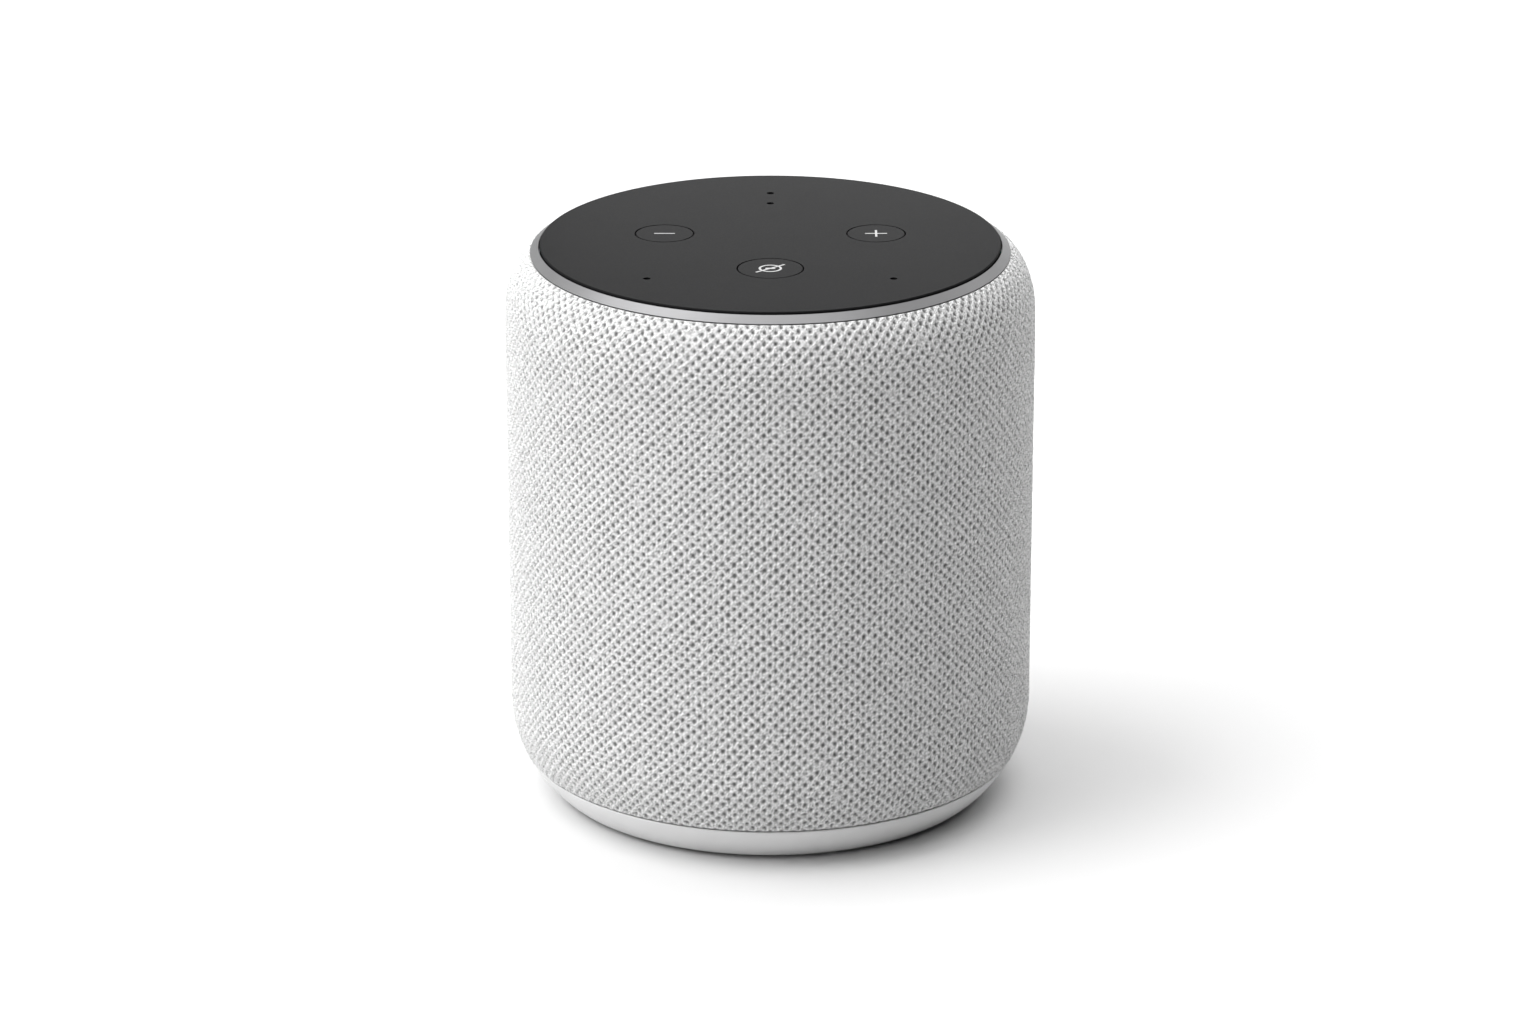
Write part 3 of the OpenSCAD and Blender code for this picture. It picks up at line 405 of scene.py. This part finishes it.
def diffuser(name, colour):
    """Frosted light guide."""
    g = Graph(name)
    frost = g.noise(0.2 * MM, detail=5)
    g.set(
        Base_Color=g.ramp(frost, scaled(colour, 0.92), colour),
        Roughness=g.range(frost, 0.45, 0.65),
        Normal=g.bump(frost, 0.01 * MM),
        Subsurface_Weight=0.3,
        Subsurface_Scale=1.5 * MM,
    )
    return g.material


def film(name, colour):
    """Polyimide ribbon with conductor tracks along it."""
    g = Graph(name)
    wave = g.add("ShaderNodeTexWave", bands_direction="X")
    wave.inputs["Scale"].default_value = WAVE_SCALE / (1.0 * MM)
    g.join(g.position(), wave.inputs["Vector"])
    tracks = wave.outputs["Fac"]
    g.set(
        Base_Color=g.ramp(tracks, scaled(colour, 0.55), scaled(colour, 1.15), 0.35, 0.65),
        Roughness=0.3,
        Normal=g.bump(tracks, 0.02 * MM),
    )
    return g.material


def sleeve_cloth(name, colour):
    """Pale yarn with painted shade in the eyes, where a dark grey is mixed in by how open the weave is, and
    fine fibres along both sets of yarns.
    """
    g = Graph(name)
    weave = g.add("ShaderNodeUVMap", uv_map="Weave").outputs["UV"]
    along = g.add("ShaderNodeMapping")
    along.inputs["Scale"].default_value = FIBRE_STRETCH
    g.join(weave, along.inputs["Vector"])
    speck = g.noise(SPECK_SIZE, detail=0, vector=weave)
    fibre = g.noise(FIBRE_SIZE, detail=0, vector=along.outputs["Vector"])
    openness = g.add("ShaderNodeAttribute", attribute_name="eye").outputs["Fac"]
    mottle = g.math("ADD", g.math("MULTIPLY", speck, SPECK_SHARE), g.math("MULTIPLY", fibre, FIBRE_SHARE))
    yarn = g.ramp(mottle, scaled(colour, YARN_DARK), scaled(colour, YARN_LIGHT), *YARN_RAMP)
    # Painted shade: the eyes' grey is mixed into the colour where the weave is open, frayed by the mottle
    depth = g.math("ADD", openness, g.math("MULTIPLY", mottle, EYE_MOTTLE))
    g.set(
        Base_Color=g.mix(g.range(depth, 0.0, EYE_COVER, *EYE_RAMP), yarn, EYE_SHADE_COLOUR),
        Roughness=0.9,
        Specular_IOR_Level=0.25,
        Sheen_Weight=0.1,
        Sheen_Roughness=0.5,
        Normal=g.bump(mottle, MOTTLE_RELIEF),
    )
    return g.material


def slot_materials():
    """A material for each of the record's slots."""
    return {
        "top_panel": top_plastic("top_panel", (0.009, 0.009, 0.0095)),
        "button_cap": top_plastic("button_cap", (0.010, 0.010, 0.0105)),
        "legend_dim": legend_inlay("legend_dim", (0.42, 0.42, 0.43)),
        "legend_bright": legend_inlay("legend_bright", (0.46, 0.46, 0.46)),
        "trim": satin_ring("trim", (0.205, 0.205, 0.208)),
        "diffuser": diffuser("diffuser", (0.82, 0.85, 0.87)),
        "led": moulded("led", (0.90, 0.87, 0.72), rough=(0.2, 0.3)),
        "base": satin_base("base", (0.82, 0.82, 0.82)),
        "dark_plastic": moulded("dark_plastic", (0.030, 0.031, 0.034)),
        "grille": moulded("grille", (0.30, 0.31, 0.32), grain=0.5 * MM),
        "rubber": rubbery("rubber", (0.022, 0.022, 0.023), pores=0.35 * MM, depth=0.015 * MM),
        "foam": rubbery("foam", (0.014, 0.014, 0.015), pores=0.8 * MM, depth=0.12 * MM),
        "circuit_board": laminate("circuit_board", (0.012, 0.085, 0.045)),
        "tin_plate": metal("tin_plate", (0.58, 0.59, 0.60)),
        "gold": metal("gold", (0.78, 0.60, 0.26), rough=(0.2, 0.3)),
        "screw_steel": metal("screw_steel", (0.50, 0.51, 0.52), rough=(0.22, 0.34)),
        "spreader": metal("spreader", (0.48, 0.49, 0.50), stretch=(12, 1, 1), rough=(0.3, 0.5)),
        "thermal_pad": rubbery("thermal_pad", (0.30, 0.42, 0.50), pores=0.5 * MM, depth=0.02 * MM),
        "connector": moulded("connector", (0.78, 0.75, 0.66)),
        "capacitor": moulded("capacitor", (0.03, 0.05, 0.16), rough=(0.25, 0.35), depth=0.003 * MM),
        "ribbon": film("ribbon", (0.55, 0.27, 0.06)),
        "ferrite": moulded(
            "ferrite", (0.05, 0.05, 0.052), grain=0.4 * MM, depth=0.03 * MM, rough=(0.55, 0.75)
        ),
        "magnet_steel": metal("magnet_steel", (0.46, 0.47, 0.47), stretch=(1, 1, 10)),
        "surround": rubbery(
            "surround", (0.018, 0.018, 0.019), pores=1.2 * MM, depth=0.01 * MM, rough=(0.5, 0.65)
        ),
        "spider": woven("spider", (0.62, 0.42, 0.10), 0.9 * MM, 0.12 * MM),
        "paper_cone": moulded(
            "paper_cone", (0.030, 0.030, 0.033), grain=1.2 * MM, depth=0.06 * MM, rough=(0.7, 0.85)
        ),
        "copper": metal("copper", (0.62, 0.28, 0.12), stretch=(1, 1, 30), depth=0.03 * MM),
        "dome": woven("dome", (0.45, 0.46, 0.48), 0.4 * MM, 0.03 * MM),
        "red_wire": rubbery("red_wire", (0.36, 0.02, 0.02), depth=0.004 * MM, rough=(0.4, 0.5)),
        "black_wire": rubbery("black_wire", (0.02, 0.02, 0.02), depth=0.004 * MM, rough=(0.4, 0.5)),
        "white_plastic": moulded("white_plastic", (0.70, 0.70, 0.66)),
    }


def dress_nodes(frame, materials):
    """Gives each shown CAD node the material of its slot in the record."""
    for part in frame["record"]["subparts"]:
        material = materials.get(part["material_slot"])
        if material:
            mesh = frame["nodes"][part["node"]].data
            mesh.materials.clear()
            mesh.materials.append(material)


# ---- Woven sleeve ----


def top_radius(node, z):
    """The largest radius of a CAD node's points at a height."""
    points = np.array([v.co for v in frame["nodes"][node].data.vertices])
    at = np.abs(points[:, 2] - z) < SAME_HEIGHT
    return float(np.hypot(points[at, 0], points[at, 1]).max())


def sleeve_outline():
    """Points up the sleeve's outer face as (radius, height), their outward normals and lengths along it."""
    low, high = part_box("fabric_sleeve")
    hem_x = high.x - HEM_R
    shoulder_x = high.x - SHOULDER_W
    top_a = math.acos((top_radius("fabric_sleeve", high.z) - shoulder_x) / SHOULDER_W)
    shoulder_z = high.z - SHOULDER_H * math.sin(top_a)
    a = np.linspace(-math.asin((HEM_Z - low.z) / HEM_R), 0, HEM_POINTS)
    hem = np.stack([hem_x + HEM_R * np.cos(a), HEM_Z + HEM_R * np.sin(a)], 1)
    z = np.linspace(HEM_Z, shoulder_z, SIDE_POINTS)[1:]
    side = np.stack([np.full_like(z, high.x), z], 1)
    a = np.linspace(0, top_a, SHOULDER_POINTS)[1:]
    shoulder = np.stack([shoulder_x + SHOULDER_W * np.cos(a), shoulder_z + SHOULDER_H * np.sin(a)], 1)
    points = np.concatenate([hem, side, shoulder])
    length = np.concatenate([[0], np.cumsum(np.linalg.norm(np.diff(points, axis=0), axis=1))])
    along = np.gradient(points, length, axis=0)
    along /= np.linalg.norm(along, axis=1, keepdims=True)
    return points, np.stack([along[:, 1], -along[:, 0]], 1), length


def smooth_step(low, high, x):
    x = np.clip((x - low) / (high - low), 0, 1)
    return x * x * (3 - 2 * x)


def blended(table, x, y):
    """A random table read between its points, from -1 to 1. It repeats both ways."""
    i, j = np.floor(x).astype(int), np.floor(y).astype(int)
    fx, fy = smooth_step(0, 1, x - i), smooth_step(0, 1, y - j)
    n, m = table.shape
    i, k, j, l = i % n, (i + 1) % n, j % m, (j + 1) % m
    lower = table[i, j] * (1 - fx) + table[k, j] * fx
    upper = table[i, l] * (1 - fx) + table[k, l] * fx
    return lower * (1 - fy) + upper * fy


def weave_relief(u, v):
    """Height over the sleeve's face in metres, and how open each point is, from 0 on yarn to 1 in an eye.

    u counts columns and v rows.
    """
    rng = np.random.default_rng(SEED)

    def drift(columns_each, rows_each):
        """Slow random change over patches of that many columns and rows."""
        table = rng.uniform(-1, 1, (round(COLUMNS / columns_each), DRIFT_ROWS))
        return blended(table, u / COLUMNS * len(table), v / rows_each)

    s = u + v + WEAVE_WANDER * drift(*SLASH_DRIFT)
    t = u - v + WEAVE_WANDER * drift(*BACK_DRIFT)
    k, m = np.round(s).astype(int), np.round(t).astype(int)
    ds, dt = s - k, t - m

    # Random traits of each eye
    shape = (2 * COLUMNS, EYE_TABLE)
    eye_at = ((k + m) % shape[0], (k - m) % shape[1])
    size = rng.normal(1, SIZE_SPREAD, shape)[eye_at]
    open_share = np.clip(rng.normal(1, OPEN_SPREAD, shape), *OPEN_LIMITS)
    open_share = np.where(rng.random(shape) < FILLED_EYES, FILLED_OPEN, open_share)[eye_at]
    shift = rng.normal(0, PLACE_SPREAD, (2, *shape)) * MM

    # Fibres run along each yarn
    strands = rng.uniform(-1, 1, (2, FIBRE_TABLE, FIBRE_TABLE))
    slash_strand = blended(strands[0], s * FIBRE_ALONG, t * FIBRE_ACROSS)
    back_strand = blended(strands[1], s * FIBRE_ACROSS, t * FIBRE_ALONG)
    slash = np.exp(-(((np.abs(dt) - 0.5) / SLASH_WIDTH) ** 2))
    back = np.exp(-(((np.abs(ds) - 0.5) / BACK_WIDTH) ** 2))
    strand = slash_strand * (1 - FIBRE_COVER + FIBRE_COVER * slash) + back_strand * (1 - FIBRE_COVER * slash)

    pitch = 2 * math.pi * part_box("fabric_sleeve")[1].x / COLUMNS
    across = (ds + dt) / 2 * pitch - shift[0][eye_at]
    along = (ds - dt) / 2 * ROW_PITCH - shift[1][eye_at]
    reach = np.hypot(across / (EYE_W * size), along / (EYE_H * size)) + EYE_FRAY * strand
    eye = open_share * (1 - smooth_step(*EYE_EDGE, reach))
    slash_height = SLASH_RIDGE * slash * (1 + RIDGE_CHANGE * drift(*RIDGE_DRIFT))
    ridge = slash_height + BACK_RIDGE * back * (1 - 0.5 * slash)
    fuzz = rng.normal(0, 1, u.shape)
    height = ridge + STRAND_RELIEF * strand + FUZZ_RELIEF * fuzz + PUFF_RELIEF * drift(*PUFF_DRIFT)
    return height - EYE_DEPTH * eye - SINK, np.clip(eye, 0, 1)


def opening_edge(x, z):
    """Signed distance in the XZ plane to the socket opening's outline, and the nearest point on it.

    The distance is less than 0 inside the opening.
    """
    low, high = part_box("port_bezel")
    centre_z = (low.z + high.z) / 2
    radius = (high.z - low.z) / 2 + OPENING_SLIP
    half = (high.x - low.x) / 2 + OPENING_SLIP - radius
    core_x = np.clip(x, -half, half)
    dx, dz = x - core_x, z - centre_z
    d = np.maximum(np.hypot(dx, dz), 1e-9)
    return d - radius, core_x + dx / d * radius, centre_z + dz / d * radius


class SleeveGrid:
    """Points over the sleeve in rows up its outline and columns around the body, which starts at the rear."""

    def __init__(self):
        self.outline, self.normals, self.length = sleeve_outline()
        self.columns = COLUMNS * SAMPLES
        self.rows = round(self.length[-1] / (ROW_PITCH / SAMPLES)) + 1
        self.up = np.linspace(0, self.length[-1], self.rows)
        height = np.interp(self.up, self.length, self.outline[:, 1])
        turn = math.pi / 2 + np.arange(self.columns) * 2 * math.pi / self.columns
        self.turn, self.height = np.meshgrid(turn, height)
        self.open_up()

    def radius(self):
        return np.interp(self.height, self.outline[:, 1], self.outline[:, 0])

    def open_up(self):
        """Finds the cells inside the socket opening, and moves the points beside it onto its edge."""
        behind = np.sin(self.turn) > 0
        d, edge_x, edge_z = opening_edge(self.radius() * np.cos(self.turn), self.height)
        reach = OPENING_REACH * self.length[-1] / self.rows
        inside = behind & (d < reach)
        right = np.roll(inside, -1, 1)
        self.hole = (inside & right)[:-1] & (inside & right)[1:]
        kept = np.zeros_like(inside)
        for rows in (slice(None, -1), slice(1, None)):
            kept[rows] |= ~self.hole
            kept[rows] |= np.roll(~self.hole, 1, 1)
        edge = inside & kept
        self.height = np.where(edge, edge_z, self.height)
        side = np.arccos(np.clip(edge_x / self.radius(), -1, 1))
        self.turn = np.where(edge, side, self.turn)
        self.from_edge = np.where(behind, np.maximum(d, 0), 1.0)

    def points(self, depth):
        """The grid's points at a depth or at depths over the outer face, outwards being more than 0."""
        r = self.radius() + depth * np.interp(self.height, self.outline[:, 1], self.normals[:, 0])
        z = self.height + depth * np.interp(self.height, self.outline[:, 1], self.normals[:, 1])
        return np.stack([r * np.cos(self.turn), r * np.sin(self.turn), z], 2)

    def relief(self):
        """The weave's relief, turned in at the sleeve's ends and round the opening."""
        height, eye = weave_relief(*np.meshgrid(np.arange(self.columns) / SAMPLES, self.up / ROW_PITCH))
        ends = smooth_step(0, HEM_TURN, self.up) * smooth_step(0, RIM_TURN, self.length[-1] - self.up)
        shown = ends[:, None] * smooth_step(0, OPENING_TURN, self.from_edge)
        return height * shown - TURNED_IN * (1 - shown), eye

    def inner_rows(self):
        """Rows of the smooth inner face: every one beside the opening, and one in each pitch elsewhere."""
        rows = set(range(0, self.rows, SAMPLES)) | {self.rows - 1}
        opening = np.where(self.hole.any(1))[0]
        return np.array(sorted(rows | set(range(opening[0] - 2, opening[-1] + 4))))

    def cells(self, rows, first):
        """Faces between those rows, whose points are numbered from first, leaving the opening out."""
        line = first + np.arange(len(rows))[:, None] * self.columns
        here = line + np.arange(self.columns)
        beside = line + np.roll(np.arange(self.columns), -1)
        quads = np.stack([here[:-1], beside[:-1], beside[1:], here[1:]], 2)
        return quads[~self.hole[rows[:-1]]]


def closing_faces(faces, partner):
    """Faces that join each open edge of some faces to the same edge of the other layer."""
    a, b = faces, np.roll(faces, -1, 1)
    count = len(partner)
    open_edge = ~np.isin(a * count + b, b * count + a)
    a, b = a[open_edge], b[open_edge]
    return np.stack([b, a, partner[a], partner[b]], 1)


def corner_maps(faces, row, column, layer, grid):
    """Coordinates at each face's corners: the weave's own, and a flat map with two half-turns a layer."""
    c = column[faces].astype(float)
    wraps = (c.max(1) - c.min(1) > grid.columns / 2)[:, None]
    c = np.where(wraps & (c == 0), grid.columns, c)
    r = row[faces] / (grid.rows - 1)
    u, v = c / SAMPLES, r * grid.length[-1] / ROW_PITCH
    half = (c.min(1) >= grid.columns / 2)[:, None]
    kind = np.where(layer[faces].min(1) != layer[faces].max(1), 2, layer[faces].max(1))[:, None]
    start, span, gap = (np.array(values)[kind] for values in (MAP_START, MAP_SPAN, MAP_GAP))
    across = MAP_LEFT + MAP_WIDTH * (c / grid.columns * 2 - half)
    upward = start + half * (span + gap) + span * r + (kind == 2) * MAP_EDGE * layer[faces]
    return np.stack([u + v, u - v], 2), np.stack([across, upward], 2)


def mesh_from(name, points, faces):
    """A smooth-shaded mesh of quads."""
    mesh = bpy.data.meshes.new(name)
    mesh.vertices.add(len(points))
    mesh.vertices.foreach_set("co", points.astype(np.float32).ravel())
    mesh.loops.add(faces.size)
    mesh.loops.foreach_set("vertex_index", faces.astype(np.int32).ravel())
    mesh.polygons.add(len(faces))
    mesh.polygons.foreach_set("loop_start", np.arange(0, faces.size, 4, dtype=np.int32))
    mesh.polygons.foreach_set("use_smooth", np.ones(len(faces), bool))
    mesh.update(calc_edges=True)
    return mesh


def sleeve_mesh():
    """A closed sheet: the weave in relief outside, a smooth face inside, and joined edges."""
    grid = SleeveGrid()
    relief, eye = grid.relief()
    rows = grid.inner_rows()
    outer, inner = grid.points(relief).reshape(-1, 3), grid.points(-SLEEVE_T)[rows].reshape(-1, 3)
    count = len(outer) + len(inner)
    partner = np.zeros(count, int)
    partner_rows = (rows[:, None] * grid.columns + np.arange(grid.columns)).ravel()
    partner[partner_rows] = len(outer) + np.arange(len(inner))
    outside = grid.cells(np.arange(grid.rows), 0)
    inside = grid.cells(rows, len(outer))[:, ::-1]
    faces = np.concatenate([outside, inside, closing_faces(outside, partner)])

    row = np.concatenate([np.repeat(np.arange(grid.rows), grid.columns), np.repeat(rows, grid.columns)])
    column = np.tile(np.arange(grid.columns), grid.rows + len(rows))
    layer = (np.arange(count) >= len(outer)).astype(int)
    weave_map, flat_map = corner_maps(faces, row, column, layer, grid)
    used = np.zeros(count, bool)
    used[faces] = True
    mesh = mesh_from("fabric_weave", np.concatenate([outer, inner])[used], (np.cumsum(used) - 1)[faces])
    for name, coordinates in (("OFBake", flat_map), ("Weave", weave_map)):
        mesh.uv_layers.new(name=name).data.foreach_set("uv", coordinates.astype(np.float32).ravel())
    openness = np.concatenate([eye.ravel(), np.zeros(len(inner))])[used]
    mesh.attributes.new("eye", "FLOAT", "POINT").data.foreach_set("value", openness.astype(np.float32))
    return mesh


def add_sleeve(material):
    sleeve = bpy.data.objects.new("fabric_weave", sleeve_mesh())
    bpy.context.scene.collection.objects.link(sleeve)
    sleeve.data.materials.append(material)
    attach(sleeve, "speaker")
    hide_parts("fabric_sleeve")


# ---- Studio ----


def add_floor():
    """A plain pale floor."""
    corners = [(x * FLOOR_HALF, y * FLOOR_HALF, 0) for x, y in ((-1, -1), (1, -1), (1, 1), (-1, 1))]
    mesh = bpy.data.meshes.new("floor")
    mesh.from_pydata(corners, [], [(0, 1, 2, 3)])
    floor = bpy.data.objects.new("floor", mesh)
    bpy.context.scene.collection.objects.link(floor)
    g = Graph("floor")
    seen = g.add("ShaderNodeLightPath").outputs["Is Camera Ray"]
    g.set(Base_Color=g.mix(seen, FLOOR_BOUNCE, FLOOR_COLOUR), Roughness=0.9, Specular_IOR_Level=0.1)
    mesh.materials.append(g.material)


def add_sun(name, azimuth, elevation, strength):
    """A soft distant light from a compass direction, 0 being the front and 90 the right, at an elevation."""
    data = bpy.data.lights.new(name, "SUN")
    data.energy = strength
    data.angle = math.radians(LIGHT_SPREAD)
    light = bpy.data.objects.new(name, data)
    a, e = math.radians(azimuth), math.radians(elevation)
    towards = Vector((math.sin(a) * math.cos(e), -math.cos(a) * math.cos(e), math.sin(e)))
    light.rotation_euler = towards.to_track_quat("Z", "Y").to_euler()
    bpy.context.scene.collection.objects.link(light)


def add_back_card():
    """A small, low card behind the speaker, whose light grazes the top panel from the rear."""
    data = bpy.data.lights.new("back_card", "AREA")
    data.shape = "RECTANGLE"
    data.size, data.size_y = BACK_CARD_SIZE
    data.energy = BACK_CARD_POWER
    data.spread = math.radians(BACK_CARD_SPREAD)
    light = bpy.data.objects.new("back_card", data)
    light.location = BACK_CARD_AT
    light.rotation_euler = Vector((0, BACK_CARD_AT[1], 0)).to_track_quat("Z", "Y").to_euler()
    bpy.context.scene.collection.objects.link(light)


def add_world():
    """Dim light from all round, behind a white backdrop."""
    world = bpy.data.worlds.new("studio")
    world.use_nodes = True
    tree = world.node_tree
    dim = tree.nodes["Background"]
    dim.inputs["Color"].default_value = (1, 1, 1, 1)
    dim.inputs["Strength"].default_value = WORLD_LIGHT
    white = tree.nodes.new("ShaderNodeBackground")
    white.inputs["Strength"].default_value = 1.0
    white.inputs["Color"].default_value = (1, 1, 1, 1)
    mix = tree.nodes.new("ShaderNodeMixShader")
    tree.links.new(tree.nodes.new("ShaderNodeLightPath").outputs["Is Camera Ray"], mix.inputs[0])
    tree.links.new(dim.outputs[0], mix.inputs[1])
    tree.links.new(white.outputs[0], mix.inputs[2])
    tree.links.new(mix.outputs[0], tree.nodes["World Output"].inputs["Surface"])
    bpy.context.scene.world = world


def add_camera():
    data = bpy.data.cameras.new("camera")
    data.lens = CAMERA_LENS
    data.sensor_width = CAMERA_SENSOR
    data.shift_x = CAMERA_SHIFT
    camera = bpy.data.objects.new("camera", data)
    camera.location = CAMERA_AT
    camera.rotation_euler = (math.radians(90 - CAMERA_PITCH), 0, 0)
    bpy.context.scene.collection.objects.link(camera)
    bpy.context.scene.camera = camera


def set_view():
    view = bpy.context.scene.view_settings
    view.view_transform = "Standard"
    view.look = "None"
    view.exposure = 0
    view.gamma = 1


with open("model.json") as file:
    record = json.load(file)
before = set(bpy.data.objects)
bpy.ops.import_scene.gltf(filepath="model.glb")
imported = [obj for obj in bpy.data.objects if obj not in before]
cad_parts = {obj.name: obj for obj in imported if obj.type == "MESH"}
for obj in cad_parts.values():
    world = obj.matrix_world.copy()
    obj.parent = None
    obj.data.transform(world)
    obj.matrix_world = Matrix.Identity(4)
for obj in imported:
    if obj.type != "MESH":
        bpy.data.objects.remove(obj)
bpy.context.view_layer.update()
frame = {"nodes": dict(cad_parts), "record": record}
dress_nodes(frame, slot_materials())
add_sleeve(sleeve_cloth("fabric", (0.82, 0.82, 0.815)))
add_floor()
add_world()
for light in LIGHTS:
    add_sun(*light)
add_back_card()
add_camera()
set_view()
